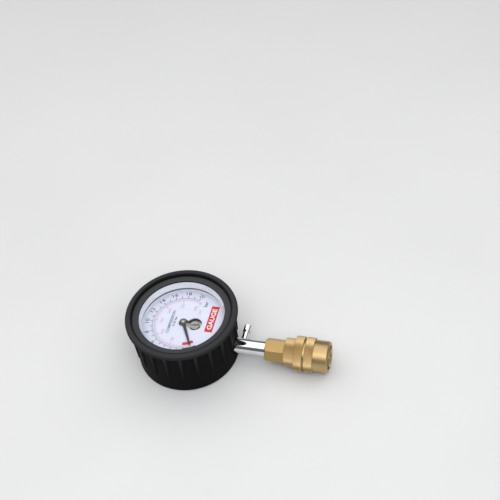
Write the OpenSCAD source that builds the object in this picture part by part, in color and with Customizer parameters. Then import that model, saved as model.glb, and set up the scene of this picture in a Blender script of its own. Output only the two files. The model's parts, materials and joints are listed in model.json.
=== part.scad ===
// Compression tester gauge: dial gauge in a ribbed rubber boot, plated stem with a release valve, brass quick coupler.
// Units are millimetres. The back of the boot lies on z = 0, the dial faces +Z and the stem points along +X.

/* [Case and dial] */
// Diameter of the dial plate
dial_d = 64.4; // [60:0.2:70]
// Thickness of the dial plate
dial_t = 0.8; // [0.5:0.1:1.2]
// Sheet thickness of the case cup
case_t = 0.9; // [0.7:0.1:1.3]
// Height of the dial shoulder above the underside of the case
case_depth = 27.4; // [27:0.1:32]
// Height of the white spacer ring between dial and lens
ring_h = 2.2; // [2.2:0.05:4]
// Thickness of the lens
lens_t = 1.2; // [1:0.1:2.5]
// Depth of the bezel's turned-in lip above the lens
bezel_lip = 5.05; // [3:0.05:6]
// How far the lip leans in on its way down to the lens
lip_lean = 1.2; // [0:0.1:1.6]
// Sheet thickness of the bezel
bezel_t = 0.8; // [0.5:0.1:1]
// How far the boot's opening lies inside the edge of the dial
opening_in = 1.7; // [1.5:0.1:4]

/* [Dial window] */
// Radius of the window round the pointer shaft
eye_r = 3.3; // [2.8:0.1:4]
// Distance of the window's large lobe from the dial centre
window_x = 8.2; // [7:0.1:10]
// Radius of the window's large lobe
window_r = 5.4; // [4:0.1:6]
// Width of the neck between the two lobes
window_neck = 5; // [3:0.1:5.4]

/* [Pointer] */
// Reach of the pointer from the dial centre
pointer_len = 22.2; // [16:0.2:26]
// Width of the pointer at its root
pointer_w = 2.5; // [1.2:0.1:2.8]
// Angle of the zero mark from the stem, clockwise seen from the front
zero_angle = 62; // [30:1:80]

/* [Rubber boot] */
// Thickness of the boot's back
boot_back = 3.6; // [3:0.1:6]
// Wall of the boot between the ribs
boot_wall = 4.6; // [3.6:0.1:7]
// Number of grip ribs
rib_n = 22; // [12:1:30]
// Turn of the first rib from the stem
rib_turn = 5; // [0:0.5:16]
// Height of a rib at its upper end
rib_h = 1.8; // [1:0.1:2.6]
// Height of a rib at its lower end
rib_end = 0.7; // [0.3:0.1:1.2]
// How far the rim stands out past the ribs
rim_out = 1.6; // [0.8:0.1:3]
// Height of the rim band
rim_h = 4.2; // [3.2:0.1:6]
// Thickness of the flap over the bezel
flap_t = 1.1; // [0.8:0.1:2]
// Height of the rim above the flap
rim_up = 2.6; // [1.6:0.1:3]
// Width of the flap that shows inside the rim
flap_w = 4.6; // [4.4:0.1:6]

/* [Stem] */
// Height of the stem axis above the back
stem_h = 13.5; // [13.2:0.1:14.5]
// Diameter of the stem
stem_d = 11; // [10:0.5:12]
// Length of stem that shows between the boot rim and the hexagon
stem_show = 18.9; // [17:0.1:30]
// Bore through the stem
stem_bore = 3.6; // [3.4:0.1:4.4]

/* [Release valve] */
// Distance of the valve from the boot rim
valve_off = 1.3; // [0.8:0.1:8]
// Diameter of the valve neck
valve_neck_d = 4.4; // [4:0.1:4.8]
// Diameter of the valve head
valve_head_d = 5.6; // [5.2:0.1:7]
// Length of the valve head
valve_head_l = 5.5; // [5:0.1:8]
// Length of the neck beyond the stem
valve_neck_l = 5.9; // [4:0.1:9]
// Travel of the release button
press = 1.2; // [0.8:0.1:1.3]

/* [Coupler] */
// Width across flats of the hexagon
hex_af = 15; // [14:0.5:16]
// Length of the hexagon
hex_l = 13.9; // [13.5:0.1:20]
// Turn of the hexagon about the stem axis
hex_clock = 45; // [0:1:59]
// Diameter of the knurled collar behind the sleeve
collar_d = 20; // [19:0.2:20.4]
// Length of collar that shows
collar_show = 7.5; // [6:0.1:10]
// Diameter of the sleeve's grip bands
grip_d = 24.8; // [24:0.1:25.6]
// Length of one grip band
grip_l = 6.1; // [5.6:0.1:7]
// Width of the groove between the grip bands
grip_gap = 1.3; // [0.8:0.1:2]
// Diameter of the sleeve's smooth barrel
barrel_d = 22.4; // [21:0.2:23.6]
// Length of the sleeve's smooth barrel
barrel_l = 10.5; // [10:0.1:14]
// Number of knurl teeth round a grip band
knurl_n = 112; // [60:2:120]
// Depth of the knurl
knurl_h = 0.3; // [0.2:0.05:0.5]
// Travel of the sleeve when it is pulled back
pull = 4; // [3:0.1:4.4]
// Diameter of the bore that takes the nipple's tip
nose_d = 6.9; // [6.6:0.1:7]
// Diameter of a lock ball
ball_d = 3.2; // [3.1:0.1:3.3]

/* [Movement] */
// Gear module of the pinion and the sector
gear_m = 0.4; // [0.38:0.01:0.42]
// Angle that the pointer sweeps
sweep = 236; // [200:2:240]
// Radius of the sector's tail pin
tail_r = 6; // [5.5:0.1:6.4]
// Radius of the tube's centre line
tube_r = 24; // [23.5:0.1:24.5]
// Height of the tube's flattened section
tube_h = 9; // [7:0.2:10]
// Thickness of the tube's flattened section
tube_w = 3.6; // [3:0.1:4]
// Gap between the movement's top plate and the dial
dial_gap = 1.6; // [1.2:0.1:2.4]
// Thickness of a movement plate
plate_t = 1.2; // [1:0.1:1.5]

/* [Hidden] */
// Roundness of drawn curves
$fn = 48;
// Gap between fixed pieces that fit into each other
fit = 0.03;
// Gap between moving pieces
run = 0.05;
// Loose gap between moving pieces
free = 0.2;

// Radii of the case, bezel and boot
dial_r = dial_d / 2;
lens_r = dial_r;
up_in = dial_r + 0.2;
up_out = up_in + case_t;
lo_in = dial_r - 1.2;
lo_out = lo_in + case_t;
skirt_in = up_out + 0.1;
skirt_out = skirt_in + bezel_t;
open_r = dial_r - opening_in;
lip_in = open_r + 0.1;
boot_lo = lo_out + 0.1;
boot_up = skirt_out + 0.1;
floor_r = boot_lo + boot_wall;
rib_r = floor_r + rib_h;
rim_r = rib_r + rim_out;
recess_r = open_r + flap_w;

// Heights of the case, bezel and boot
case_z = boot_back;
shoulder_z = case_z + case_depth;
dial_z = shoulder_z + dial_t;
lens_z = dial_z + ring_h;
lip_z = lens_z + lens_t;
bezel_z = lip_z + bezel_lip;
flap_z = bezel_z + flap_t;
boot_h = flap_z + rim_up;
rim_z = boot_h - rim_h;
rib_z = stem_h + 1;
rib_root = 0.5;

// Socket block and stem
sock_top = stem_h + 6.5;
sock_z = case_z + case_t;
sock_x0 = 13;
sock_x1 = lo_in - 3;
sock_y = 7.5;
neck_r = 5.6;
neck_x = lo_out + 2.2;
screw_r = 1.4;
screw_x = 17;
screw_y = 4.4;
stem_r = stem_d / 2;
bore_r = stem_bore / 2;
spigot_r = 4;
stem_x0 = neck_x + fit;
stem_x1 = rim_r + stem_show;

// Release valve, heights measured from the stem axis
valve_x = rim_r + valve_off;
vn_r = valve_neck_d / 2;
vh_r = valve_head_d / 2;
v_in = bore_r + 0.4;
v_groove = stem_r + valve_neck_l;
v_head = v_groove + 0.9;
v_end = v_head + valve_head_l;
v_floor = v_head + 1;
v_cap = v_end - press - 0.7;
disc_t = 0.6;
disc_top = v_in - 0.65;

// Coupler stations along the stem axis
hex_r = hex_af / 2 / cos(30);
hex_x = stem_x1 + fit;
collar_r = collar_d / 2;
collar_n = round(knurl_n * collar_d / grip_d);
collar_x = hex_x + hex_l;
sleeve_x = collar_x + collar_show;
cage_x = sleeve_x + 1.2;
grip_r = grip_d / 2;
groove_r = barrel_d / 2 - 0.2;
barrel_r = barrel_d / 2;
grip1_x = sleeve_x + grip_l;
grip2_x = grip1_x + grip_gap;
barrel_x = grip2_x + grip_l;
sleeve_end = barrel_x + barrel_l;
ball_r = ball_d / 2;
nose_r = nose_d / 2;
ball_in = nose_r + 0.1;
ball_c = ball_in + ball_r;
lift = 0.6;
cage_r = ball_c + ball_r - 0.15;
mouth_r = ball_in + lift - 0.05;
land_r = ball_c + ball_r + 0.04;
ramp = lift / pull + 0.015;
snap_x = sleeve_end - 1.9;
front_x = snap_x - 0.15;
ball_x = front_x - 3.8;
mouth_x = ball_x - 2.5;
seal_x = mouth_x - 6.1;
seal_w = 1.8;
seal_r = nose_r + 1.55;
seat_x = seal_x - 0.75;
body_end = sleeve_end + 0.8;
ledge_x = barrel_x - 0.9;
chamber_r = seal_r;
cone_x = seat_x - (chamber_r - nose_r);
tail_x = collar_x + 6;
thread_r = 6.6;
pocket_r = 4.2;
pocket_x = collar_x - 1;
socket_r = spigot_r + 0.25;
socket_l = 8.6;
socket_x = hex_x + socket_l;
poppet_r = chamber_r - free;
poppet_x = cone_x - 0.6;
poppet_l = 5;
poppet_back = poppet_x - poppet_l;
poppet_rm = 2.8;
poppet_rw = 0.35;
poppet_bore = 3.3;
poppet_floor = poppet_x - 1.5;
cone_gap = 0.57;

// Movement
pinion_n = 12;
sector_n = 72;
ratio = sector_n / pinion_n;
swing = sweep / ratio;
pin_pr = gear_m * pinion_n / 2;
sec_pr = gear_m * sector_n / 2;
pivot_x = pin_pr + sec_pr;
base_z = sock_top;
base_top = base_z + plate_t;
top_top = shoulder_z - dial_gap;
top_z = top_top - plate_t;
gear_z = base_top + 1.4;
gear_t = 1;
tail_a = 17;
pin_x = pivot_x + tail_r * cos(tail_a);
pin_y = tail_r * sin(tail_a);
link_z = gear_z + gear_t + 0.1;
link_t = 0.7;
tip_a = 57;
tip_turn = 6;
tip_x = tube_r * cos(tip_a - tip_turn);
tip_y = tube_r * sin(tip_a - tip_turn);
tube_a0 = tip_a;
tube_end = 12;
tube_span = 360 - tip_a - tube_end;
tube_z0 = stem_h - tube_h / 2;
shaft_r = 0.7;
sector_shaft_r = 0.8;
pivot_r = 0.5;
collet_r = 1.4;
hair_z = top_z - 1.4;
hair_h = 0.6;
hair_t = 0.16;
hair_turns = 4;
hair_out = 5.2;
stud_r = 0.5;
pillars = [[-3.6, 5.6], [-3.6, -5.6], [20, -6.2]];
base_screws = [[24.5, 3], [24.5, -3]];
plate_r = 8.2;
sight_r = 2.4;
plate_l = 21;
plate_w = 14.4;
ear_r = 2.2;
foot_l = 6.8;
foot_w = 10;
pillar_r = 1.3;
mscrew_r = 0.7;
mhead_r = 1.3;
mhead_h = 0.8;
hub_z = dial_z + 0.5;
hub_r = 2;
flange_r = 2.5;
pointer_z = hub_z + 0.5;
pointer_t = 0.4;
hub_top = pointer_z + pointer_t + 0.5;

// Moves to the stem axis, with the local z axis along +X
module along_stem() {
  translate([0, 0, stem_h])
    rotate([0, 90, 0])
      children();
}

// Moves to the valve axis, with the local z axis along +Y from the stem axis
module along_valve() {
  translate([valve_x, 0, stem_h])
    rotate([-90, 0, 0])
      children();
}

// Round rod from height a to height b
module rod(r, a, b) {
  translate([0, 0, a])
    cylinder(r = r, h = b - a);
}

// Turned piece from a profile of radius and height pairs
module turned(profile) {
  rotate_extrude()
    polygon(profile);
}

// Cuts a straight knurl of n teeth into a band of radius r between heights a and b
module knurl_cut(r, n, a, b) {
  crest = r - 0.02;
  difference() {
    rod(r + 1, a, b);
    translate([0, 0, a - 1])
      linear_extrude(b - a + 2)
        polygon([for (k = [0:2 * n - 1]) (crest - knurl_h * (k % 2)) * [cos(180 * k / n), sin(180 * k / n)]]);
  }
}

// Coil spring between heights a and b
module coil(rm, rw, a, b, turns, steps) {
  n = turns * steps;
  sides = 6;
  rise = b - a - 2 * rw;
  ring_of = [for (i = [0:n]) for (k = [0:sides - 1]) [
    (rm + rw * cos(60 * k)) * cos(360 * i / steps),
    (rm + rw * cos(60 * k)) * sin(360 * i / steps),
    a + rw + rise * i / n + rw * sin(60 * k)
  ]];
  near = [for (i = [0:n - 1]) for (k = [0:sides - 1])
    [i * sides + k, (i + 1) * sides + k, i * sides + (k + 1) % sides]];
  far = [for (i = [0:n - 1]) for (k = [0:sides - 1])
    [(i + 1) * sides + k, (i + 1) * sides + (k + 1) % sides, i * sides + (k + 1) % sides]];
  first = [for (k = [1:sides - 2]) [0, k, k + 1]];
  last = [for (k = [1:sides - 2]) [n * sides, n * sides + k + 1, n * sides + k]];
  polyhedron(points = ring_of, faces = concat(near, far, first, last));
}

// Angle of an involute at radius r on a base circle rb, in degrees
function inv_angle(r, rb) = r <= rb ? 0 : sqrt(r * r / (rb * rb) - 1) * 180 / PI - acos(rb / r);

// Half the angle of a tooth at radius r
function half_tooth(n, r) =
  let (rp = gear_m * n / 2, rb = rp * cos(25), play = 0.04 * 180 / PI / rp)
    90 / n - play + inv_angle(rp, rb) - inv_angle(r, rb);

// Outline of one tooth centred on angle c, from the root up one flank and down the other
function tooth(n, c) =
  let (rp = gear_m * n / 2, root = rp - 1.2 * gear_m, tip = rp + 0.9 * gear_m, rb = rp * cos(25), low = max(root, rb))
    concat(
      [[root * cos(c - half_tooth(n, low)), root * sin(c - half_tooth(n, low))]],
      [for (i = [0:4]) let (r = low + (tip - low) * i / 4, a = c - half_tooth(n, r)) [r * cos(a), r * sin(a)]],
      [for (i = [4:-1:0]) let (r = low + (tip - low) * i / 4, a = c + half_tooth(n, r)) [r * cos(a), r * sin(a)]],
      [[root * cos(c + half_tooth(n, low)), root * sin(c + half_tooth(n, low))]]
    );

// Outline of the boot's wall, flap and rim, turned about the gauge axis
module boot_profile() {
  base_round = 2;
  rim_round = min(2, rim_h / 2 - 0.1);
  edge_round = 1.1;
  difference() {
    union() {
      square([floor_r - base_round, boot_h - rim_round]);
      translate([0, base_round])
        square([floor_r, boot_h - rim_round - base_round]);
      translate([floor_r - base_round, base_round])
        circle(base_round);
      translate([0, rim_z + rim_round])
        square([rim_r, rim_h - 2 * rim_round]);
      translate([0, rim_z])
        square([rim_r - rim_round, rim_h]);
      for (z = [rim_z + rim_round, boot_h - rim_round])
        translate([rim_r - rim_round, z])
          circle(rim_round);
    }
    translate([-1, boot_back])
      square([boot_lo + 1, case_depth - case_t]);
    translate([-1, shoulder_z - case_t])
      square([boot_up + 1, bezel_z - shoulder_z + case_t]);
    translate([-1, bezel_z - 1])
      square([open_r + 1, boot_h]);
    translate([-1, flap_z])
      square([recess_r + 1, boot_h]);
    difference() {
      translate([recess_r - 0.1, boot_h - edge_round])
        square([edge_round + 0.1, edge_round + 1]);
      translate([recess_r + edge_round, boot_h - edge_round])
        circle(edge_round);
    }
  }
}

module boot() {
  color("#202124")
    difference() {
      union() {
        rotate_extrude($fn = 96)
          boot_profile();
        difference() {
          for (i = [0:rib_n - 1])
            rotate([0, 0, rib_turn + 360 * i / rib_n])
              translate([floor_r, 0, rib_z])
                cylinder(r1 = rib_end, r2 = rib_h, h = rim_z - rib_z + 0.5);
          cylinder(r = floor_r - rib_root, h = boot_h);
        }
      }
      along_stem()
        rod(neck_r + 0.7, lo_in, rim_r + 2);
      for (s = [-1, 1])
        translate([screw_x, s * screw_y, 0])
          rod(3, boot_back - 1.9, boot_back + 1);
    }
}

module case_cup() {
  color("#8d9094")
    difference() {
      turned([
        [0, case_z], [lo_out, case_z], [lo_out, shoulder_z - case_t], [up_out, shoulder_z - case_t],
        [up_out, bezel_z - bezel_t - fit], [up_in, bezel_z - bezel_t - fit], [up_in, shoulder_z],
        [lo_in, shoulder_z], [lo_in, case_z + case_t], [0, case_z + case_t]
      ]);
      along_stem()
        rod(neck_r + 0.2, lo_in - 3, lo_out + 2);
      for (s = [-1, 1])
        translate([screw_x, s * screw_y, 0])
          rod(screw_r + 0.1, case_z - 1, case_z + case_t + 1);
    }
}

module bezel_ring() {
  color("#d9dbde")
    turned([
      [skirt_in, shoulder_z - case_t], [skirt_out, shoulder_z - case_t], [skirt_out, bezel_z], [lip_in, bezel_z],
      [lip_in - lip_lean, lip_z], [lip_in - lip_lean + bezel_t, lip_z], [lip_in + bezel_t, bezel_z - bezel_t],
      [skirt_in, bezel_z - bezel_t]
    ]);
}

module lens() {
  color("#dfeaf0", 0.35)
    turned([
      [0, lens_z], [lens_r, lens_z], [lens_r, lip_z - 0.3], [lens_r - 0.3, lip_z], [0, lip_z]
    ]);
}

module dial_ring() {
  foot = lip_in + 0.1;
  color("#f1f2f3")
    turned([
      [foot - 1.2, dial_z + 0.4], [foot, dial_z + 0.4], [foot, dial_z], [lens_r, dial_z],
      [lens_r, lens_z], [foot, lens_z]
    ]);
}

module dial_plate() {
  color("#eef1f6")
    translate([0, 0, shoulder_z])
      linear_extrude(dial_t)
        difference() {
          circle(dial_r);
          circle(eye_r);
          translate([0, -window_neck / 2])
            square([window_x, window_neck]);
          translate([window_x, 0])
            circle(window_r);
        }
}

module pointer() {
  tip_w = 1.1;
  color("#141414")
    rotate([0, 0, -zero_angle])
      translate([0, 0, pointer_z])
        linear_extrude(pointer_t)
          difference() {
            union() {
              circle(flange_r + 0.2);
              polygon([
                [0, -pointer_w / 2], [pointer_len - 1.2, -tip_w / 2], [pointer_len, 0],
                [pointer_len - 1.2, tip_w / 2], [0, pointer_w / 2]
              ]);
            }
            circle(hub_r + fit);
          }
}

module pointer_hub() {
  color("#c9a14a")
    turned([
      [shaft_r + fit, hub_z], [flange_r, hub_z], [flange_r, pointer_z - fit], [hub_r, pointer_z - fit],
      [hub_r, hub_top - 0.3], [hub_r - 0.3, hub_top], [shaft_r + fit, hub_top]
    ]);
}

module pinion_shaft() {
  color("#b8b9bb")
    union() {
      rod(pivot_r, base_z + 0.1, base_top + 0.4);
      rod(shaft_r, base_top + 0.2, hub_top - 0.2);
      rod(collet_r, hair_z - 0.3, hair_z + hair_h + 0.2);
      translate([0, 0, gear_z - 0.5])
        linear_extrude(gear_t + 0.8)
          polygon([for (k = [0:pinion_n - 1]) each tooth(pinion_n, 360 * k / pinion_n)]);
    }
}

module hairspring() {
  steps = 24;
  n = hair_turns * steps;
  inner = collet_r + fit + hair_t / 2;
  function mid(i) = inner + (hair_out - inner) * i / n;
  function turn(i) = 180 + 360 * (i - n) / steps;
  color("#5d6a86")
    translate([0, 0, hair_z])
      linear_extrude(hair_h)
        polygon(concat(
          [for (i = [0:n]) (mid(i) + hair_t / 2) * [cos(turn(i)), sin(turn(i))]],
          [for (i = [n:-1:0]) (mid(i) - hair_t / 2) * [cos(turn(i)), sin(turn(i))]]
        ));
}

module hairspring_stud() {
  color("#c9a14a")
    translate([-hair_out - hair_t / 2 - stud_r - fit, 0, 0])
      rod(stud_r, hair_z - 0.2, top_z);
}

module sector_gear() {
  first = floor((180 - swing - 11) / (360 / sector_n));
  count = ceil((swing + 22) / (360 / sector_n));
  rim_in = sec_pr - 2.4;
  a0 = (first + 0.5) * 360 / sector_n;
  a1 = (first + count - 0.5) * 360 / sector_n;
  am = (a0 + a1) / 2;
  root = sec_pr - 1.2 * gear_m;
  spoke_y = 5;
  spoke_x = sqrt((root - 0.4) * (root - 0.4) - spoke_y * spoke_y);
  color("#d0aa52")
    translate([pivot_x, 0, gear_z])
      linear_extrude(gear_t)
        difference() {
          union() {
            polygon(concat(
              [for (k = [first:first + count - 1]) each tooth(sector_n, (k + 0.5) * 360 / sector_n)],
              [for (i = [0:12]) let (a = a1 + (a0 - a1) * i / 12) rim_in * [cos(a), sin(a)]]
            ));
            rotate([0, 0, am])
              polygon([[0, -2.4], [spoke_x, -spoke_y], [spoke_x, spoke_y], [0, 2.4]]);
            circle(2.6);
            rotate([0, 0, tail_a])
              translate([0, -1.4])
                square([tail_r, 2.8]);
            rotate([0, 0, tail_a])
              translate([tail_r, 0])
                circle(1.4);
          }
          circle(sector_shaft_r + fit);
          rotate([0, 0, tail_a])
            translate([tail_r, 0])
              circle(0.6 + run);
          rotate([0, 0, am])
            polygon([[4.6, -1.2], [sec_pr - 4.2, -2.6], [sec_pr - 4.2, 2.6], [4.6, 1.2]]);
        }
}

module sector_shaft() {
  color("#b8b9bb")
    translate([pivot_x, 0, 0])
      union() {
        rod(pivot_r, base_z + 0.1, base_top + 0.4);
        rod(sector_shaft_r, base_top + 0.2, top_z - 0.2);
        rod(pivot_r, top_z - 0.4, top_top - 0.1);
      }
}

// Outline of both movement plates
module plate_outline() {
  circle(plate_r);
  translate([0, -plate_w / 2])
    square([plate_l, plate_w]);
  translate(pillars[2])
    circle(ear_r);
}

module base_plate() {
  color("#c7a049")
    translate([0, 0, base_z])
      linear_extrude(plate_t)
        difference() {
          union() {
            plate_outline();
            translate([plate_l - 1, -foot_w / 2])
              square([foot_l, foot_w]);
          }
          circle(pivot_r + run);
          translate([pivot_x, 0])
            circle(pivot_r + run);
          for (p = base_screws)
            translate(p)
              circle(mscrew_r + 0.1);
          for (p = pillars)
            translate(p)
              circle(mscrew_r + fit);
        }
}

module top_plate() {
  color("#cfab57")
    translate([0, 0, top_z])
      linear_extrude(plate_t)
        difference() {
          plate_outline();
          circle(shaft_r + run);
          translate([pivot_x, 0])
            circle(pivot_r + run);
          translate([window_x, 0])
            circle(sight_r);
          for (p = pillars)
            translate(p)
              circle(mscrew_r + 0.1);
        }
}

module pillar_posts() {
  color("#c49a40")
    for (p = pillars)
      translate(p)
        difference() {
          union() {
            rod(pillar_r, base_top, top_z);
            rod(mscrew_r, base_z + 0.1, base_top + 0.2);
          }
          rod(mscrew_r + fit, top_z - 3, top_z + 1);
        }
}

// Slotted screw with its head on height z and its shank below
module slot_screw(r, head_r, head_h, shank, z) {
  difference() {
    union() {
      rod(r, z - shank, z + 0.1);
      rod(head_r, z, z + head_h);
    }
    translate([-head_r - 1, -0.15, z + head_h * 0.45])
      cube([2 * head_r + 2, 0.3, head_h]);
  }
}

module movement_screws() {
  color("#d8d9da")
    union() {
      for (p = pillars)
        translate(p)
          slot_screw(mscrew_r, mhead_r, mhead_h, 3.6, top_top);
      for (p = base_screws)
        translate(p)
          slot_screw(mscrew_r, mhead_r, mhead_h, 3.6, base_top);
    }
}

module link() {
  dx = tip_x - pin_x;
  dy = tip_y - pin_y;
  reach = sqrt(dx * dx + dy * dy);
  color("#cfd0d2")
    translate([pin_x, pin_y, link_z])
      rotate([0, 0, atan2(dy, dx)])
        linear_extrude(link_t)
          difference() {
            union() {
              translate([0, -0.7])
                square([reach, 1.4]);
              circle(1.3);
              translate([reach, 0])
                circle(1.3);
            }
            circle(0.6 + fit);
            translate([reach, 0])
              circle(0.6 + fit);
          }
}

module link_pins() {
  color("#b4b5b8")
    union() {
      translate([pin_x, pin_y, 0])
        union() {
          rod(0.6, gear_z - 0.1, link_z + link_t + 0.1);
          rod(1.1, link_z + link_t + fit, link_z + link_t + 0.5);
        }
      translate([tip_x, tip_y, 0])
        union() {
          rod(0.6, link_z - 1.3, link_z + link_t + 0.1);
          rod(1.1, link_z + link_t + fit, link_z + link_t + 0.5);
        }
    }
}

module tip_block() {
  block_h = tube_h + 1;
  color("#c49a40")
    difference() {
      union() {
        rotate([0, 0, tip_a])
          translate([tube_r - tube_w / 2 - 0.4, -5, tube_z0 - 0.5])
            cube([tube_w + 0.8, 5 - fit, block_h]);
        translate([tip_x, tip_y, 0])
          rod(1.6, tube_z0 + 1, link_z - fit);
      }
      translate([tip_x, tip_y, 0])
        rod(0.6 + fit, link_z - 1.4, link_z + 1);
    }
}

// Flattened section of the tube, grown by g
module tube_section(g) {
  rs = tube_w / 2 + g;
  half = tube_h / 2 - tube_w / 2;
  translate([tube_r - rs, stem_h - half])
    square([2 * rs, 2 * half]);
  translate([tube_r, stem_h - half])
    circle(rs);
  translate([tube_r, stem_h + half])
    circle(rs);
}

module bourdon_tube() {
  color("#b98f3a")
    rotate([0, 0, tube_a0])
      rotate_extrude(angle = tube_span, $fn = 96)
        difference() {
          tube_section(0);
          tube_section(-0.5);
        }
}

module socket_block() {
  color("#b58a35")
    difference() {
      union() {
        translate([sock_x0, -sock_y, sock_z])
          cube([sock_x1 - sock_x0, 2 * sock_y, sock_top - sock_z]);
        along_stem()
          rod(neck_r, sock_x1 - 1, neck_x);
      }
      rotate([0, 0, 0.1 - tube_end])
        rotate_extrude(angle = -30, $fn = 96)
          tube_section(fit);
      along_stem()
        rod(bore_r, tube_r - 1, neck_x + 1);
      translate([tube_r, 0, stem_h])
        rotate([90, 0, 0])
          rod(bore_r * 0.7, -0.5, 5.5);
      along_stem()
        rod(spigot_r + fit, neck_x - 6, neck_x + 1);
      for (s = [-1, 1])
        translate([screw_x, s * screw_y, 0])
          rod(screw_r + fit, sock_z - 1, sock_z + 5.2);
      for (p = base_screws)
        translate(p)
          rod(mscrew_r + fit, sock_top - 2.8, sock_top + 1);
    }
}

module case_screws() {
  color("#9fa2a6")
    for (s = [-1, 1])
      translate([screw_x, s * screw_y, case_z])
        rotate([180, 0, 0])
          slot_screw(screw_r, 2.7, 1.6, case_t + 5, 0);
}

module stem() {
  edge = 0.5;
  color("#c8ccd0")
    difference() {
      along_stem()
        turned([
          [bore_r, stem_x0 - 5.6], [spigot_r, stem_x0 - 5.6], [spigot_r, stem_x0], [stem_r - edge, stem_x0],
          [stem_r, stem_x0 + edge], [stem_r, stem_x1 - edge], [stem_r - edge, stem_x1],
          [spigot_r, stem_x1], [spigot_r, stem_x1 + socket_l - 0.4], [bore_r, stem_x1 + socket_l - 0.4]
        ]);
      along_valve()
        rod(vn_r + fit, 0, stem_r + 1);
    }
}

module valve_body() {
  edge = 0.4;
  color("#d3d6d9")
    along_valve()
      turned([
        [0.75, v_in], [vn_r, v_in], [vn_r, v_groove], [vn_r - 0.5, v_groove + 0.15], [vn_r - 0.5, v_head],
        [vh_r - edge, v_head], [vh_r, v_head + edge], [vh_r, v_end - edge], [vh_r - edge, v_end],
        [1.75, v_end], [1.75, v_floor], [0.75, v_floor]
      ]);
}

module valve_pin() {
  color("#b9bcc0")
    along_valve()
      union() {
        rod(0.6, disc_top - disc_t + 0.1, v_end - 0.6);
        rod(1.45, disc_top - disc_t, disc_top);
      }
}

module valve_button() {
  color("#c2c5c9")
    along_valve()
      turned([
        [0.6 + fit, v_cap], [1.5, v_cap], [1.5, v_end + 0.2], [1.1, v_end + 0.6], [0, v_end + 0.6],
        [0, v_end - 0.55], [0.6 + fit, v_end - 0.55]
      ]);
}

module valve_seal() {
  color("#17181a")
    along_valve()
      difference() {
        rod(1.45, disc_top + 0.02, v_in - 0.02);
        rod(0.6 + fit, disc_top - 1, v_in + 1);
      }
}

module valve_spring() {
  color("#9a9da1")
    along_valve()
      coil(1.2, 0.14, v_floor, v_cap, 3.5, 14);
}

module coupler_tail() {
  cut = 1.1;
  color("#c9a13f")
    along_stem()
      difference() {
        union() {
          intersection() {
            rotate([0, 0, hex_clock])
              translate([0, 0, hex_x])
                cylinder(r = hex_r, h = hex_l, $fn = 6);
            turned([
              [0, hex_x], [hex_r - cut, hex_x], [hex_r + 0.1, hex_x + cut * 0.7], [hex_r + 0.1, collar_x - cut * 0.4],
              [hex_r - cut * 0.6, collar_x], [0, collar_x]
            ]);
          }
          rod(thread_r, collar_x - 0.5, tail_x);
        }
        rod(socket_r - 0.2, hex_x - 1, socket_x);
        rod(2.5, hex_x, tail_x);
        rod(pocket_r, pocket_x, tail_x + 1);
      }
}

module coupler_body() {
  edge = knurl_h + 0.1;
  color("#cda644")
    along_stem()
      difference() {
        turned([
          [thread_r + fit, collar_x + fit], [collar_r - edge, collar_x + fit], [collar_r, collar_x + edge + fit],
          [collar_r, cage_x], [cage_r, cage_x], [cage_r, snap_x - 0.02], [cage_r - 0.6, snap_x - 0.02],
          [cage_r - 0.6, snap_x + 1.02], [cage_r, snap_x + 1.02], [cage_r, body_end - edge],
          [cage_r - edge, body_end], [mouth_r + edge, body_end], [mouth_r, body_end - edge],
          [mouth_r, mouth_x + 0.4], [nose_r, mouth_x], [nose_r, seal_x + seal_w], [seal_r, seal_x + seal_w],
          [seal_r, seal_x], [nose_r, seal_x], [nose_r, seat_x], [chamber_r, cone_x],
          [chamber_r, tail_x + fit], [thread_r + fit, tail_x + fit]
        ]);
        knurl_cut(collar_r, collar_n, collar_x - 1, cage_x + 0.5);
        for (a = [0:90:270])
          rotate([0, 0, a])
            translate([0, 0, ball_x])
              rotate([0, 90, 0])
                union() {
                  rod(ball_r + run, ball_c - ball_r * 0.42, cage_r + 1);
                  rod(ball_r * 0.94, mouth_r - 1, cage_r);
                }
      }
}

module coupler_sleeve() {
  edge = knurl_h + 0.05;
  rear = collar_r + free;
  step_x = cage_x + pull + 0.3;
  ramp_end = land_r + ramp * (front_x - ball_x);
  recess = cage_r + 2.2;
  color("#d2ab48")
    along_stem()
      difference() {
        turned([
          [rear, sleeve_x], [grip_r - edge, sleeve_x], [grip_r, sleeve_x + edge], [grip_r, grip1_x - edge],
          [grip_r - edge, grip1_x], [groove_r, grip1_x], [groove_r, grip2_x], [grip_r - edge, grip2_x],
          [grip_r, grip2_x + edge], [grip_r, barrel_x - edge], [grip_r - edge, barrel_x],
          [barrel_r, barrel_x], [barrel_r, sleeve_end - 0.9], [barrel_r - 0.9, sleeve_end],
          [recess, sleeve_end], [recess, front_x], [ramp_end, front_x], [land_r, ball_x], [land_r, ledge_x],
          [rear - 0.9, ledge_x], [rear - 0.9, step_x], [rear, step_x]
        ]);
        knurl_cut(grip_r, knurl_n, sleeve_x - 1, grip1_x + 0.5 * grip_gap);
        knurl_cut(grip_r, knurl_n, grip2_x - 0.5 * grip_gap, barrel_x + 0.5);
      }
}

module sleeve_spring() {
  color("#9a9da1")
    along_stem()
      coil(cage_r + 1.35, 0.55, cage_x, ledge_x, 5, 16);
}

module snap_ring() {
  color("#a5a8ac")
    along_stem()
      difference() {
        rod(cage_r + 1.8, snap_x, snap_x + 1);
        rod(cage_r - 0.6 + fit, snap_x - 1, snap_x + 2);
        rotate([0, 0, 90])
          translate([0, -0.9, snap_x - 1])
            cube([20, 1.8, 3]);
      }
}

// Lock ball at an angle about the stem axis
module lock_ball(a) {
  color("#e2e4e6")
    along_stem()
      rotate([0, 0, a])
        translate([ball_c, 0, ball_x])
          sphere(ball_r);
}

module lock_ball_1() {
  lock_ball(0);
}

module lock_ball_2() {
  lock_ball(90);
}

module lock_ball_3() {
  lock_ball(180);
}

module lock_ball_4() {
  lock_ball(270);
}

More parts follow.
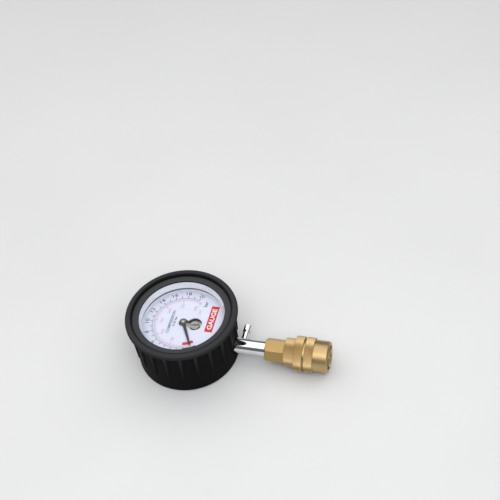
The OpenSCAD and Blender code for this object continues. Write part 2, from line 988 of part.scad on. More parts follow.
module nipple_seal() {
  wire = 0.74;
  color("#141516")
    along_stem()
      translate([0, 0, seal_x + seal_w / 2])
        rotate_extrude()
          translate([(nose_r + seal_r) / 2 + 0.01, 0])
            circle(wire);
}

// Middle of the poppet's seal on its cone
seal_mid = (poppet_r + nose_r - 0.8) / 2;
seal_at = cone_x + chamber_r - cone_gap * sqrt(2) - seal_mid;

module poppet() {
  nose = nose_r - 0.8;
  top_x = cone_x + chamber_r - cone_gap * sqrt(2);
  color("#c39a3c")
    along_stem()
      difference() {
        turned([
          [poppet_bore, poppet_back], [poppet_r, poppet_back], [poppet_r, top_x - poppet_r], [nose, top_x - nose],
          [nose - 0.4, top_x - nose + 0.6], [0, top_x - nose + 0.6], [0, poppet_floor], [poppet_bore, poppet_floor]
        ]);
        translate([0, 0, seal_at])
          rotate_extrude()
            translate([seal_mid, 0])
              circle(0.55 + 0.02);
        for (a = [0:120:240])
          rotate([0, 0, a])
            translate([0, 0, poppet_back + 1.8])
              rotate([0, 90, 0])
                rod(0.9, 2, 8);
      }
}

module poppet_seal() {
  color("#151618")
    along_stem()
      translate([0, 0, seal_at])
        rotate_extrude()
          translate([seal_mid, 0])
            circle(0.55);
}

module poppet_spring() {
  color("#9a9da1")
    along_stem()
      coil(poppet_rm, poppet_rw, pocket_x, poppet_floor, 6, 14);
}

boot();
case_cup();
bezel_ring();
lens();
dial_ring();
dial_plate();
pointer();
pointer_hub();
pinion_shaft();
hairspring();
hairspring_stud();
sector_gear();
sector_shaft();
base_plate();
top_plate();
pillar_posts();
movement_screws();
link();
link_pins();
tip_block();
bourdon_tube();
socket_block();
case_screws();
stem();
valve_body();
valve_pin();
valve_button();
valve_seal();
valve_spring();
coupler_tail();
coupler_body();
coupler_sleeve();
sleeve_spring();
snap_ring();
lock_ball_1();
lock_ball_2();
lock_ball_3();
lock_ball_4();
nipple_seal();
poppet();
poppet_seal();
poppet_spring();
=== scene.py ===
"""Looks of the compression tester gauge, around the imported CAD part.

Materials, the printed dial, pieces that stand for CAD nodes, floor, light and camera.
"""

import json
import math

import bmesh
import bpy
from mathutils import Euler, Matrix, Vector


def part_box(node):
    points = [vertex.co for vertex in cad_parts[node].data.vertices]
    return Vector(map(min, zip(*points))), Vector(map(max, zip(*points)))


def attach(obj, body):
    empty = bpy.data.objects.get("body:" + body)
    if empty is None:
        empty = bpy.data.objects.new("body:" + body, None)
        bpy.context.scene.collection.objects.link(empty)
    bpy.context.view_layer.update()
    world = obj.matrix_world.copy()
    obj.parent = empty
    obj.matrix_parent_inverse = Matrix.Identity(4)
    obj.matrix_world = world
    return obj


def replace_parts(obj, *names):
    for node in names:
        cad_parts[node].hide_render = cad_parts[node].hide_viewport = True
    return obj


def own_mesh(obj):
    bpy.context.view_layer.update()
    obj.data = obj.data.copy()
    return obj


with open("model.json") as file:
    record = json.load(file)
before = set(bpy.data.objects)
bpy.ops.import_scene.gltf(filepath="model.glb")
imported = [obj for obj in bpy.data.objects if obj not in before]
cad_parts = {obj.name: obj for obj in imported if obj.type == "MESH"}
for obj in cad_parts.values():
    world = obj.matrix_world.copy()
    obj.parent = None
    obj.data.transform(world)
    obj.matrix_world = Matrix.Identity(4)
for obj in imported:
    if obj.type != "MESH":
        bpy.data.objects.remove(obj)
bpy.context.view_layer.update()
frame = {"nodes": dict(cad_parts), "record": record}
NODES = frame["nodes"]
MM = 0.001


# Object helpers


def place(name, data):
    """A new object in the scene."""
    obj = bpy.data.objects.new(name, data)
    bpy.context.scene.collection.objects.link(obj)
    return obj


def final_mesh(obj):
    """A new mesh of the object as its font or its modifiers leave it."""
    bpy.context.view_layer.update()
    return bpy.data.meshes.new_from_object(obj.evaluated_get(bpy.context.evaluated_depsgraph_get()))


# Node helpers


def material(name):
    """A new material with its node tree and its Principled shader."""
    m = bpy.data.materials.new(name)
    m.use_nodes = True
    return m, m.node_tree, m.node_tree.nodes["Principled BSDF"]


def coords(nt, scale=(1, 1, 1)):
    """Object coordinates, which are the row frame in metres, times a scale."""
    tex = nt.nodes.new("ShaderNodeTexCoord")
    mapping = nt.nodes.new("ShaderNodeMapping")
    mapping.inputs["Scale"].default_value = scale
    nt.links.new(tex.outputs["Object"], mapping.inputs["Vector"])
    return mapping.outputs["Vector"]


def split_xyz(nt, vector):
    """The X, Y and Z outputs of a vector."""
    split = nt.nodes.new("ShaderNodeSeparateXYZ")
    nt.links.new(vector, split.inputs["Vector"])
    return [split.outputs[key] for key in "XYZ"]


def noise(nt, vector, scale, detail, rough=0.55):
    """A cloudy value, mostly between 0.3 and 0.7."""
    n = nt.nodes.new("ShaderNodeTexNoise")
    n.inputs["Scale"].default_value = scale
    n.inputs["Detail"].default_value = detail
    n.inputs["Roughness"].default_value = rough
    nt.links.new(vector, n.inputs["Vector"])
    return n.outputs["Fac"]


def remap(nt, value, lo, hi, a=0.0, b=1.0):
    """The value with its stretch from lo to hi turned into a to b, and held at both ends."""
    r = nt.nodes.new("ShaderNodeMapRange")
    r.clamp = True
    for key, x in (("From Min", lo), ("From Max", hi), ("To Min", a), ("To Max", b)):
        r.inputs[key].default_value = x
    nt.links.new(value, r.inputs["Value"])
    return r.outputs["Result"]


def math_node(nt, kind, a, b):
    """One step of arithmetic on two numbers or outputs."""
    m = nt.nodes.new("ShaderNodeMath")
    m.operation = kind
    for i, x in enumerate((a, b)):
        if isinstance(x, (int, float)):
            m.inputs[i].default_value = x
        else:
            nt.links.new(x, m.inputs[i])
    return m.outputs["Value"]


def mix(nt, fac, a, b):
    """Mix of two colours or colour outputs."""
    m = nt.nodes.new("ShaderNodeMix")
    m.data_type = "RGBA"
    nt.links.new(fac, m.inputs["Factor"])
    for key, x in (("A", a), ("B", b)):
        socket = [s for s in m.inputs if s.name == key and s.type == "RGBA"][0]
        if isinstance(x, tuple):
            socket.default_value = (*x, 1)
        else:
            nt.links.new(x, socket)
    return [s for s in m.outputs if s.type == "RGBA"][0]


def bump(nt, height, strength, distance, normal=None):
    """Normals raised by a height, on top of other normals when they are given."""
    b = nt.nodes.new("ShaderNodeBump")
    b.inputs["Strength"].default_value = strength
    b.inputs["Distance"].default_value = distance
    nt.links.new(height, b.inputs["Height"])
    if normal is not None:
        nt.links.new(normal, b.inputs["Normal"])
    return b.outputs["Normal"]


def soft_edges(nt, radius):
    """Normals rounded over sharp edges."""
    b = nt.nodes.new("ShaderNodeBevel")
    b.samples = 6
    b.inputs["Radius"].default_value = radius
    return b.outputs["Normal"]


# Materials

# Rubber: stretch of its streaks, and their tone as a gain and a lift of the lighter colour
STREAKS = (60, 60, 420)
WORN_GAIN = 1.9
WORN_LIFT = 0.004

# Metal: share of the clouds in its uneven polish, the rest being tool marks
CLOUD_SHARE = 0.6

# Stretch of tool marks: turned about X, turned about Y, milled, stamped, brushed around Z, even
AROUND_X = (5200, 60, 60)
AROUND_Y = (60, 5200, 60)
MILLED = (500, 500, 2600)
STAMPED = (180, 3600, 900)
AROUND_Z = (120, 120, 5200)
EVEN = (900, 900, 900)

# Scale of the clouds in ink
INK_CLOUDS = 900


def rubber(name, dark, light, rough, grain, edge, gloss):
    """Moulded rubber with faint patches, streaks and grain."""
    m, nt, bsdf = material(name)
    v = coords(nt)
    patch = noise(nt, v, scale=90, detail=5)
    fine = noise(nt, v, scale=3200, detail=3, rough=0.6)
    streak = noise(nt, coords(nt, STREAKS), scale=1, detail=3)
    tone = mix(nt, remap(nt, patch, lo=0.32, hi=0.7), dark, light)
    worn = tuple(c * WORN_GAIN + WORN_LIFT for c in light)
    tone = mix(nt, remap(nt, streak, lo=0.62, hi=0.78, a=0, b=0.35), tone, worn)
    nt.links.new(tone, bsdf.inputs["Base Color"])
    nt.links.new(remap(nt, patch, 0.3, 0.72, *rough), bsdf.inputs["Roughness"])
    n = bump(nt, fine, strength=grain, distance=0.05 * MM, normal=soft_edges(nt, edge))
    nt.links.new(n, bsdf.inputs["Normal"])
    bsdf.inputs["Specular IOR Level"].default_value = gloss
    return m


def handled_rubber(name, flap_r, wall_r, rib_r, wall_top):
    """Boot rubber: dark and matt, with painted sheen on the rim's upper side and the flap, and painted
    highlights on the rim's top edge and on the ribs.

    flap_r is the flap's outer radius, wall_r and rib_r are those of the wall and its ribs, and the rim is
    above wall_top.
    """
    m = rubber(name, dark=(0.004, 0.0041, 0.0045), light=(0.007, 0.0072, 0.0078), rough=(0.54, 0.7),
               grain=0.3, edge=0.35 * MM, gloss=0.04)
    nt = m.node_tree
    base = nt.nodes["Principled BSDF"].inputs["Base Color"]
    plain = base.links[0].from_socket
    x, y, z = split_xyz(nt, coords(nt))
    r2 = math_node(nt, "ADD", math_node(nt, "MULTIPLY", x, x), math_node(nt, "MULTIPLY", y, y))
    radius = math_node(nt, "POWER", r2, 0.5)
    normal = nt.nodes.new("ShaderNodeNewGeometry").outputs["Normal"]
    # Painted sheen and highlight: up-facing parts of the flap and of the rim's rounded top are painted
    # paler, where light from above would shine on them
    upward = remap(nt, split_xyz(nt, normal)[2], lo=0.05, hi=0.8)
    flap = remap(nt, radius, lo=flap_r, hi=flap_r + 0.2 * MM, a=1, b=0)
    crest = remap(nt, radius, lo=flap_r + 0.4 * MM, hi=flap_r + 1.7 * MM)
    above = math_node(nt, "MULTIPLY", remap(nt, z, lo=wall_top - 0.4 * MM, hi=wall_top), upward)
    above = math_node(nt, "MULTIPLY", above, math_node(nt, "MAXIMUM", flap, crest))
    # Painted highlight on the ribs, fading towards the bottom
    proud = remap(nt, radius, lo=wall_r + 0.15 * MM, hi=rib_r - 0.2 * MM)
    faded = remap(nt, z, lo=wall_top - 26 * MM, hi=wall_top - 4 * MM, a=0.14, b=0.6)
    ribs = math_node(nt, "MULTIPLY", proud, faded)
    painted_sheen = math_node(nt, "MAXIMUM", ribs, above)
    # Tones of the painted sheen and highlights: paler on the flap than on the rim and ribs
    pale = mix(nt, flap, (0.035, 0.0355, 0.0375), (0.048, 0.049, 0.052))
    nt.links.new(mix(nt, painted_sheen, plain, pale), base)
    return m


def metal(name, light, dark, rough, lines, mark, edge=0.15 * MM, metallic=1):
    """Metal with uneven polish; lines stretches the tool marks, mark is their depth."""
    m, nt, bsdf = material(name)
    bsdf.inputs["Metallic"].default_value = metallic
    cloud = noise(nt, coords(nt), scale=60, detail=5)
    tool = noise(nt, coords(nt, lines), scale=1, detail=3, rough=0.65)
    nt.links.new(mix(nt, remap(nt, cloud, lo=0.34, hi=0.72), light, dark), bsdf.inputs["Base Color"])
    from_cloud = math_node(nt, "MULTIPLY", cloud, CLOUD_SHARE)
    from_tool = math_node(nt, "MULTIPLY", tool, 1 - CLOUD_SHARE)
    uneven = math_node(nt, "ADD", from_cloud, from_tool)
    nt.links.new(remap(nt, uneven, 0.32, 0.68, *rough), bsdf.inputs["Roughness"])
    n = bump(nt, tool, strength=mark, distance=0.02 * MM, normal=soft_edges(nt, edge))
    nt.links.new(n, bsdf.inputs["Normal"])
    return m


def plastic(name, light, dark, rough, scale=140, grain=0.05):
    """Smooth moulding, paint or ink with clouds of the given scale and a fine grain."""
    m, nt, bsdf = material(name)
    v = coords(nt)
    cloud = noise(nt, v, scale, detail=5)
    fine = noise(nt, v, scale=4200, detail=2)
    nt.links.new(mix(nt, remap(nt, cloud, lo=0.3, hi=0.7), light, dark), bsdf.inputs["Base Color"])
    nt.links.new(remap(nt, cloud, 0.3, 0.7, *rough), bsdf.inputs["Roughness"])
    nt.links.new(bump(nt, fine, strength=grain, distance=0.02 * MM), bsdf.inputs["Normal"])
    return m


def spacer_white(name, top):
    """White moulding with a painted shadow: a dark band that runs just under the lens."""
    m = plastic(name, light=(0.9, 0.905, 0.96), dark=(0.87, 0.875, 0.93), rough=(0.3, 0.44))
    nt = m.node_tree
    base = nt.nodes["Principled BSDF"].inputs["Base Color"]
    white = base.links[0].from_socket
    height = split_xyz(nt, coords(nt))[2]
    # Painted shadow: the band near the ring's top, where the bezel's lip and the lens shade it, is painted
    # dark
    line = remap(nt, height, lo=top - 1.6 * MM, hi=top - 0.8 * MM)
    nt.links.new(mix(nt, line, white, (0.14, 0.15, 0.21)), base)
    return m


def clear_lens(name):
    """Thin clear plastic: light passes straight through, with a faint gloss on sides that face outwards."""
    m, nt, _ = material(name)
    clear = nt.nodes.new("ShaderNodeBsdfTransparent")
    gloss = nt.nodes.new("ShaderNodeBsdfGlossy")
    gloss.inputs["Roughness"].default_value = 0.05
    fresnel = nt.nodes.new("ShaderNodeFresnel")
    fresnel.inputs["IOR"].default_value = 1.09
    inside = nt.nodes.new("ShaderNodeNewGeometry").outputs["Backfacing"]
    outside = math_node(nt, "SUBTRACT", 1, inside)
    mixer = nt.nodes.new("ShaderNodeMixShader")
    nt.links.new(math_node(nt, "MULTIPLY", fresnel.outputs["Fac"], outside), mixer.inputs["Fac"])
    nt.links.new(clear.outputs["BSDF"], mixer.inputs[1])
    nt.links.new(gloss.outputs["BSDF"], mixer.inputs[2])
    nt.links.new(mixer.outputs["Shader"], nt.nodes["Material Output"].inputs["Surface"])
    return m


# Boot, as in the CAD: rim past the ribs, ribs past the wall, height of the rim and width of its upper side
RIM_OUT = 1.6 * MM
RIB_H = 1.8 * MM
RIM_H = 4.2 * MM
RIM_W = 4.9 * MM
boot_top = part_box("boot")[1]
RIB_R = boot_top.y - RIM_OUT

BOOT = handled_rubber("boot_rubber", flap_r=boot_top.y - RIM_W, wall_r=RIB_R - RIB_H, rib_r=RIB_R,
                      wall_top=boot_top.z - RIM_H)
SEAL = rubber("seal_rubber", dark=(0.008, 0.008, 0.009), light=(0.014, 0.014, 0.015), rough=(0.3, 0.45),
              grain=0.12, edge=0.05 * MM, gloss=0.3)
CHROME = metal("stem_chrome", light=(0.83, 0.84, 0.86), dark=(0.74, 0.75, 0.78), rough=(0.045, 0.13),
               lines=AROUND_X, mark=0.03)
VALVE = metal("valve_chrome", light=(0.84, 0.85, 0.87), dark=(0.72, 0.73, 0.76), rough=(0.05, 0.16),
              lines=AROUND_Y, mark=0.04, edge=0.1 * MM)
BRASS = metal("coupler_brass", light=(0.528, 0.382, 0.192), dark=(0.452, 0.32, 0.152), rough=(0.36, 0.5),
              lines=AROUND_X, mark=0.1, edge=0.12 * MM)
HEX = metal("hexagon_brass", light=(0.428, 0.287, 0.119), dark=(0.363, 0.24, 0.093), rough=(0.24, 0.38),
            lines=MILLED, mark=0.06)
MOVEMENT = metal("movement_brass", light=(0.5, 0.475, 0.4), dark=(0.42, 0.395, 0.33), rough=(0.3, 0.48),
                 lines=STAMPED, mark=0.08)
STEEL = metal("plain_steel", light=(0.68, 0.69, 0.71), dark=(0.52, 0.53, 0.56), rough=(0.2, 0.36),
              lines=EVEN, mark=0.05, edge=0.08 * MM)
HUB = metal("hub_brass", light=(0.27, 0.265, 0.225), dark=(0.2, 0.195, 0.165), rough=(0.52, 0.68),
            lines=EVEN, mark=0.08)
NICKEL = metal("screw_nickel", light=(0.35, 0.35, 0.33), dark=(0.27, 0.27, 0.255), rough=(0.34, 0.5),
               lines=EVEN, mark=0.06, edge=0.06 * MM)
SPRING = metal("spring_steel", light=(0.5, 0.51, 0.54), dark=(0.36, 0.37, 0.4), rough=(0.24, 0.4),
               lines=EVEN, mark=0.05, edge=0.03 * MM)
BLUED = metal("blued_spring", light=(0.13, 0.17, 0.33), dark=(0.08, 0.1, 0.2), rough=(0.22, 0.36),
              lines=EVEN, mark=0.04, edge=0.02 * MM)
CASE = plastic("case_enamel", light=(0.03, 0.03, 0.033), dark=(0.02, 0.02, 0.022), rough=(0.2, 0.34),
               scale=90, grain=0.04)
BEZEL = metal("bezel_steel", light=(0.82, 0.835, 0.865), dark=(0.785, 0.8, 0.83), rough=(0.16, 0.24),
              lines=AROUND_Z, mark=0.05, edge=0.1 * MM, metallic=0.35)
DIAL = plastic("dial_white", light=(0.59, 0.616, 0.732), dark=(0.552, 0.578, 0.7), rough=(0.34, 0.5),
               scale=70, grain=0.03)
POINTER = plastic("pointer_black", light=(0.012, 0.012, 0.014), dark=(0.022, 0.022, 0.026),
                  rough=(0.3, 0.45))
INK_BLACK = plastic("ink_black", light=(0.03, 0.034, 0.055), dark=(0.07, 0.075, 0.1), rough=(0.4, 0.55),
                    scale=INK_CLOUDS)
INK_GREY = plastic("ink_grey", light=(0.1, 0.115, 0.185), dark=(0.16, 0.18, 0.26), rough=(0.4, 0.55),
                   scale=INK_CLOUDS)
INK_RED = plastic("ink_red", light=(0.55, 0.012, 0.022), dark=(0.47, 0.01, 0.018), rough=(0.36, 0.5),
                  scale=INK_CLOUDS)
INK_PINK = plastic("ink_red_thin", light=(0.52, 0.2, 0.28), dark=(0.55, 0.28, 0.37), rough=(0.4, 0.55),
                   scale=INK_CLOUDS)
INK_WHITE = plastic("ink_white", light=(0.78, 0.78, 0.79), dark=(0.7, 0.7, 0.72), rough=(0.4, 0.55),
                    scale=INK_CLOUDS)
RING = spacer_white("ring_white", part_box("dial_ring")[1].z)
LENS = clear_lens("lens_clear")

LOCK_BALLS = 4
FINISH = {
    "boot": BOOT,
    "case_cup": CASE,
    "bezel_ring": BEZEL,
    "lens": LENS,
    "dial_ring": RING,
    "dial_plate": DIAL,
    "pointer": POINTER,
    "pointer_hub": HUB,
    "pinion_shaft": STEEL,
    "hairspring": BLUED,
    "hairspring_stud": MOVEMENT,
    "sector_gear": MOVEMENT,
    "sector_shaft": STEEL,
    "base_plate": MOVEMENT,
    "top_plate": MOVEMENT,
    "pillar_posts": MOVEMENT,
    "movement_screws": STEEL,
    "link": STEEL,
    "link_pins": STEEL,
    "tip_block": MOVEMENT,
    "bourdon_tube": MOVEMENT,
    "socket_block": MOVEMENT,
    "case_screws": STEEL,
    "stem": CHROME,
    "valve_body": VALVE,
    "valve_pin": STEEL,
    "valve_button": VALVE,
    "valve_seal": SEAL,
    "valve_spring": SPRING,
    "coupler_tail": HEX,
    "coupler_body": BRASS,
    "coupler_sleeve": BRASS,
    "sleeve_spring": SPRING,
    "snap_ring": SPRING,
    "nipple_seal": SEAL,
    "poppet": BRASS,
    "poppet_seal": SEAL,
    "poppet_spring": SPRING,
}
for i in range(1, LOCK_BALLS + 1):
    FINISH[f"lock_ball_{i}"] = STEEL
for name, node in NODES.items():
    node.data.materials.clear()
    node.data.materials.append(FINISH[name])


# Dial print, in millimetres and degrees

# Angles run from the stem, counter-clockwise seen from the front
ZERO = -64.5
BAR_STEP = -11.04
PSI_PER_BAR = 14.504
PSI_STEP = BAR_STEP / PSI_PER_BAR

# Turns of words: most read along +Y, and black numerals read across their radius
ALONG_Y = 90
ACROSS_RADIUS = -90

# Black scale: five ticks to the bar on a thin line; a numeral's length goes by its digits
BAR_MAX = 20
BAR_TICKS = 5
BAR_R = 22.0
BAR_LINE_W = 0.14
BAR_LONG_R = 24.4
BAR_LONG_W = 0.44
BAR_SHORT_R = 23.0
BAR_SHORT_W = 0.2
BAR_NUMERAL_EVERY = 2
BAR_NUMERAL_R = 26.5
BAR_NUMERAL_L = {1: 2.0, 2: 3.9}

# Red scale: a tick every 5 psi, longer at 10 and longest at 50, out to a line
PSI_MAX = 300
PSI_TICK = 5
PSI_MID = 10
PSI_LONG = 50
PSI_R = 21.1
PSI_LINE_W = 0.3
PSI_LONG_R = 18.4
PSI_LONG_W = 0.5
PSI_MID_R = 19.4
PSI_SHORT_R = 19.9
PSI_SHORT_W = 0.3
PSI_NUMERAL_R = 15.3
PSI_NUMERAL_SHIFT = (-0.7, -0.3)
PSI_NUMERAL_L = {2: 3.0, 3: 4.6}

# Red panel
PANEL_X = (16.6, 22.3)
PANEL_Y = (-5.4, 17.8)

# Height of the ink just above the dial, and what solid red and white add to it, in metres
INK_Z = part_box("dial_plate")[1].z + 0.02 * MM
RED_LIFT = 0.01 * MM
WHITE_LIFT = 0.02 * MM


def polar(r, angle):
    """X and Y of a point at a radius and an angle."""
    return r * math.cos(math.radians(angle)), r * math.sin(math.radians(angle))


class Print:
    """Flat ink shapes of one colour, gathered into one piece."""

    def __init__(self, lift=0.0):
        """No shapes yet, at the height of the ink plus a lift."""
        self.z = INK_Z + lift
        self.verts = []
        self.faces = []

    def add(self, points, faces):
        """Faces over points of their own."""
        n = len(self.verts)
        self.verts += [(x * MM, y * MM, self.z) for x, y in points]
        self.faces += [tuple(n + i for i in f) for f in faces]

    def tick(self, angle, r0, r1, width):
        """A mark from one radius to another."""
        c, s = polar(1, angle)
        h = width / 2
        corners = ((r0, -h), (r1, -h), (r1, h), (r0, h))
        self.add([(r * c - k * s, r * s + k * c) for r, k in corners], [(0, 1, 2, 3)])

    def arc(self, r0, r1, a0, a1, steps=120):
        """A band between two radii, from one angle up to a larger one."""
        angles = [a0 + (a1 - a0) * i / steps for i in range(steps + 1)]
        points = [polar(r, a) for a in angles for r in (r0, r1)]
        self.add(points, [(2 * i, 2 * i + 1, 2 * i + 3, 2 * i + 2) for i in range(steps)])

    def box(self, x0, x1, y0, y1):
        """A filled rectangle."""
        self.add([(x0, y0), (x1, y0), (x1, y1), (x0, y1)], [(0, 1, 2, 3)])

    def word(self, text, size, at, turn, length, bold):
        """Text centred on a point, stretched to a length, with its reading direction turned from +X."""
        curve = bpy.data.curves.new("word", "FONT")
        curve.body = text
        curve.size = size
        curve.align_x = "CENTER"
        curve.align_y = "CENTER"
        curve.resolution_u = 3
        curve.offset = size * bold
        holder = place("word", curve)
        mesh = final_mesh(holder)
        xs = [v.co.x for v in mesh.vertices]
        ys = [v.co.y for v in mesh.vertices]
        mid_x = (min(xs) + max(xs)) / 2
        mid_y = (min(ys) + max(ys)) / 2
        stretch = length / (max(xs) - min(xs))
        c, s = polar(1, turn)
        points = []
        for x, y in zip(xs, ys):
            u = (x - mid_x) * stretch
            w = y - mid_y
            points.append((at[0] + u * c - w * s, at[1] + u * s + w * c))
        self.add(points, [tuple(p.vertices) for p in mesh.polygons])
        bpy.data.meshes.remove(mesh)
        bpy.data.objects.remove(holder)
        bpy.data.curves.remove(curve)

    def build(self, name, ink):
        """The shapes as one piece on the gauge."""
        mesh = bpy.data.meshes.new(name)
        mesh.from_pydata(self.verts, [], self.faces)
        mesh.validate()
        mesh.materials.append(ink)
        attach(place(name, mesh), "gauge")


black = Print()
pink = Print()
grey = Print()
red = Print(RED_LIFT)
white = Print(WHITE_LIFT)

# Black scale, with a solid field around its zero
for k in range(BAR_MAX * BAR_TICKS + 1):
    angle = ZERO + BAR_STEP * k / BAR_TICKS
    if k % BAR_TICKS == 0:
        black.tick(angle, BAR_R, BAR_LONG_R, BAR_LONG_W)
    else:
        black.tick(angle, BAR_R, BAR_SHORT_R, BAR_SHORT_W)
black.arc(BAR_R - BAR_LINE_W / 2, BAR_R + BAR_LINE_W / 2, ZERO + BAR_STEP * BAR_MAX, ZERO)
for value in range(BAR_NUMERAL_EVERY, BAR_MAX + 1, BAR_NUMERAL_EVERY):
    text = str(value)
    angle = ZERO + BAR_STEP * value
    black.word(text, size=4.0, at=polar(BAR_NUMERAL_R, angle), turn=angle + ACROSS_RADIUS,
               length=BAR_NUMERAL_L[len(text)], bold=0.005)
black.word("bar", size=3.5, at=(11.7, 18.8), turn=ALONG_Y, length=4.9, bold=0.018)
black.arc(r0=22.4, r1=25.4, a0=ZERO - 11, a1=ZERO + 11.5, steps=16)

# Red scale, with a solid field around its zero
for value in range(0, PSI_MAX + 1, PSI_TICK):
    angle = ZERO + PSI_STEP * value
    if value % PSI_LONG == 0:
        pink.tick(angle, PSI_LONG_R, PSI_R, PSI_LONG_W)
    else:
        pink.tick(angle, PSI_MID_R if value % PSI_MID == 0 else PSI_SHORT_R, PSI_R, PSI_SHORT_W)
pink.arc(PSI_R - PSI_LINE_W, PSI_R, ZERO + PSI_STEP * PSI_MAX, ZERO)
for value in range(PSI_LONG, PSI_MAX + 1, PSI_LONG):
    text = str(value)
    x, y = polar(PSI_NUMERAL_R, ZERO + PSI_STEP * value)
    pink.word(text, size=3.1, at=(x + PSI_NUMERAL_SHIFT[0], y + PSI_NUMERAL_SHIFT[1]), turn=ALONG_Y,
              length=PSI_NUMERAL_L[len(text)], bold=0)
pink.word("psi", size=2.9, at=(9.4, 11.1), turn=ALONG_Y, length=3.4, bold=0)
red.arc(r0=17.5, r1=19.9, a0=ZERO - 12, a1=ZERO + 11.5, steps=16)

# Red panel with plain wording, and two lines in grey
red.box(*PANEL_X, *PANEL_Y)
white.word("GAUGE", size=4.6, at=(sum(PANEL_X) / 2, sum(PANEL_Y) / 2), turn=ALONG_Y, length=18.6, bold=0.02)
grey.word("COMPRESSION", size=2.8, at=(-9.3, -0.4), turn=ALONG_Y, length=20.2, bold=0.03)
grey.word("0-20 bar", size=2.5, at=(-6.6, 0.4), turn=ALONG_Y, length=9.0, bold=0.03)

black.build("dial_print_black", INK_BLACK)
pink.build("dial_print_red_scale", INK_PINK)
red.build("dial_print_red", INK_RED)
grey.build("dial_print_grey", INK_GREY)
white.build("dial_print_white", INK_WHITE)


# Slotted screw in the movement's top plate, seen through the dial's window


def slotted_screw(name, at, turn, finish, head_r, head_h, shank_r, shank_l, slot_w, slot_d):
    """A cheese-head screw that stands on a plate at the given point, as one closed mesh."""
    bevel = 0.2 * MM
    outline = [(0, -shank_l), (shank_r, -shank_l), (shank_r, 0), (head_r, 0), (head_r, head_h - bevel),
               (head_r - bevel, head_h), (0, head_h)]
    bm = bmesh.new()
    edge = [bm.verts.new((r, 0, z)) for r, z in outline]
    rim = [bm.edges.new(pair) for pair in zip(edge, edge[1:])]
    bmesh.ops.spin(bm, geom=edge + rim, axis=(0, 0, 1), cent=(0, 0, 0), angle=math.tau, steps=48)
    bmesh.ops.remove_doubles(bm, verts=bm.verts, dist=1e-7)
    bmesh.ops.recalc_face_normals(bm, faces=bm.faces)
    blank = bpy.data.meshes.new("blank")
    bm.to_mesh(blank)
    bm.clear()
    slot_box = Matrix.Diagonal((3 * head_r, slot_w, 2 * slot_d, 1))
    bmesh.ops.create_cube(bm, size=1, matrix=Matrix.Translation((0, 0, head_h)) @ slot_box)
    tool = bpy.data.meshes.new("slot")
    bm.to_mesh(tool)
    bm.free()
    body = place("blank", blank)
    cutter = place("slot", tool)
    cut = body.modifiers.new("slot", "BOOLEAN")
    cut.operation = "DIFFERENCE"
    cut.solver = "EXACT"
    cut.object = cutter
    mesh = final_mesh(body)
    mesh.transform(Matrix.Translation(at) @ Matrix.Rotation(math.radians(turn), 4, "Z"))
    mesh.name = name
    mesh.materials.append(finish)
    for obj in (body, cutter):
        bpy.data.objects.remove(obj)
    screw = place(name, mesh)
    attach(screw, "gauge")


plate_lo, plate_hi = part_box("top_plate")
WINDOW_X = 8.2 * MM
slotted_screw("window_screw", at=(WINDOW_X, 0, plate_hi.z), turn=13, finish=NICKEL,
              head_r=3.6 * MM, head_h=1.4 * MM, shank_r=2.2 * MM, shank_l=plate_hi.z - plate_lo.z,
              slot_w=1.5 * MM, slot_d=0.9 * MM)


# Pieces that stand for CAD nodes: coil springs and pressure tube

JOINTS = {j["name"]: j for j in frame["record"]["behaviour"]["joints"]}


def coil(node):
    """The node's coil as a piece of its own on the gauge, in place of the node."""
    piece = place(node + "_coil", NODES[node].data.copy())
    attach(piece, "gauge")
    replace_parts(piece, node)
    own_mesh(piece)


coil("sleeve_spring")
coil("valve_spring")
coil("poppet_spring")

# Pressure tube, as in the CAD: radius of its bend, wall, angles of tip and foot, and steps of the mesh
TUBE_R = 24 * MM
TUBE_WALL = 0.5 * MM
TUBE_TIP = math.radians(57)
TUBE_FOOT = math.radians(348)
TUBE_STEP = math.radians(2)
TUBE_END_STEPS = 12
tube_lo, tube_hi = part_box("bourdon_tube")
TUBE_MID = (tube_lo.z + tube_hi.z) / 2
TUBE_END_R = tube_hi.y - TUBE_R


def tube_section(radius):
    """Radius and height of points around the tube's flattened section, with ends of the given radius."""
    straight = (tube_hi.z - tube_lo.z) / 2 - TUBE_END_R
    points = []
    for start, rise in ((0, straight), (math.pi, -straight)):
        for i in range(TUBE_END_STEPS + 1):
            t = start + math.pi * i / TUBE_END_STEPS
            points.append((TUBE_R + radius * math.cos(t), TUBE_MID + rise + radius * math.sin(t)))
    return points


def band(bm, one, other):
    """Faces between two closed loops of points."""
    for i in range(len(one)):
        bm.faces.new((one[i - 1], one[i], other[i], other[i - 1]))


def tube_piece(name, start, end):
    """One stretch of the bent tube, hollow and closed at both cuts."""
    sections = (tube_section(TUBE_END_R), tube_section(TUBE_END_R - TUBE_WALL))
    steps = math.ceil((end - start) / TUBE_STEP)
    bm = bmesh.new()
    cuts = []
    for i in range(steps + 1):
        a = start + (end - start) * i / steps
        c = math.cos(a)
        s = math.sin(a)
        cuts.append([[bm.verts.new((r * c, r * s, z)) for r, z in section] for section in sections])
    for here, there in zip(cuts, cuts[1:]):
        for one, other in zip(here, there):
            band(bm, one, other)
    for outer, inner in (cuts[0], cuts[-1]):
        band(bm, outer, inner)
    bmesh.ops.recalc_face_normals(bm, faces=bm.faces)
    mesh = bpy.data.meshes.new(name)
    bm.to_mesh(mesh)
    bm.free()
    mesh.materials.append(MOVEMENT)
    piece = place(name, mesh)
    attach(piece, "gauge")
    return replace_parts(piece, "bourdon_tube")
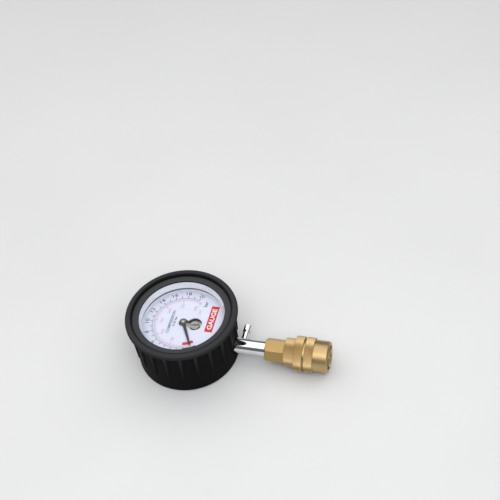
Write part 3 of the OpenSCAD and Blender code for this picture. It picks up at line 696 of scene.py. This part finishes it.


# The tube is cut in two at the angle of the tip block's path, which is the link pin's path about the
# sector's pivot
arm = Vector(JOINTS["link_swing"]["pos_m"]) - Vector(JOINTS["sector_swing"]["pos_m"])
arm.z = 0
path = Matrix.Rotation(math.radians(JOINTS["sector_swing"]["range_deg"][1]), 3, "Z") @ arm - arm
bend_at = math.atan2(path.y, path.x)
tube_piece("bourdon_tube_foot", bend_at, TUBE_FOOT)
tube_tip = tube_piece("bourdon_tube_tip", TUBE_TIP, bend_at)
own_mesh(tube_tip)


# Floor, light and camera, in metres

FLOOR_HALF = 2.5
corners = [(-FLOOR_HALF, -FLOOR_HALF, 0), (FLOOR_HALF, -FLOOR_HALF, 0),
           (FLOOR_HALF, FLOOR_HALF, 0), (-FLOOR_HALF, FLOOR_HALF, 0)]
floor_mesh = bpy.data.meshes.new("floor")
floor_mesh.from_pydata(corners, [], [(0, 1, 2, 3)])
floor_mesh.materials.append(plastic("floor_pale", light=(0.66, 0.66, 0.655), dark=(0.63, 0.63, 0.63),
                                    rough=(0.6, 0.75), scale=6, grain=0.02))
floor = place("floor", floor_mesh)

world = bpy.data.worlds.new("studio")
bpy.context.scene.world = world
world.use_nodes = True
sky = world.node_tree.nodes["Background"]
sky.inputs["Color"].default_value = (0.9, 0.94, 1, 1)
sky.inputs["Strength"].default_value = 0.16


def softbox(name, at, target, size, power, colour):
    """A rectangular area light that points at a target."""
    lamp = bpy.data.lights.new(name, "AREA")
    lamp.shape = "RECTANGLE"
    lamp.size, lamp.size_y = size
    lamp.energy = power
    lamp.color = colour
    obj = place(name, lamp)
    obj.location = at
    obj.rotation_euler = (Vector(target) - Vector(at)).to_track_quat("-Z", "Y").to_euler()


softbox("key", at=(-0.05, 0.1, 0.8), target=(-0.05, 0.1, 0), size=(2.4, 1.66), power=17.6,
        colour=(1, 0.99, 0.98))
softbox("front", at=(0.3, -0.6, 0.9), target=(0.02, 0, 0.03), size=(0.8, 0.6), power=4.5,
        colour=(0.93, 0.96, 1))

# Place of the camera, and its turns about X, Y and Z in degrees
EYE = (0.1998, -0.3977, 0.5710)
EYE_TURNS = (42.652, 5.679, 13.558)

camera = bpy.data.cameras.new("camera")
camera.lens = 70.7
camera.sensor_width = 36
camera.clip_start = 0.01
eye = place("camera", camera)
eye_turn = Euler([math.radians(a) for a in EYE_TURNS]).to_matrix().to_4x4()
eye.matrix_world = Matrix.Translation(EYE) @ eye_turn
bpy.context.scene.camera = eye
bpy.context.scene.view_settings.view_transform = "Standard"
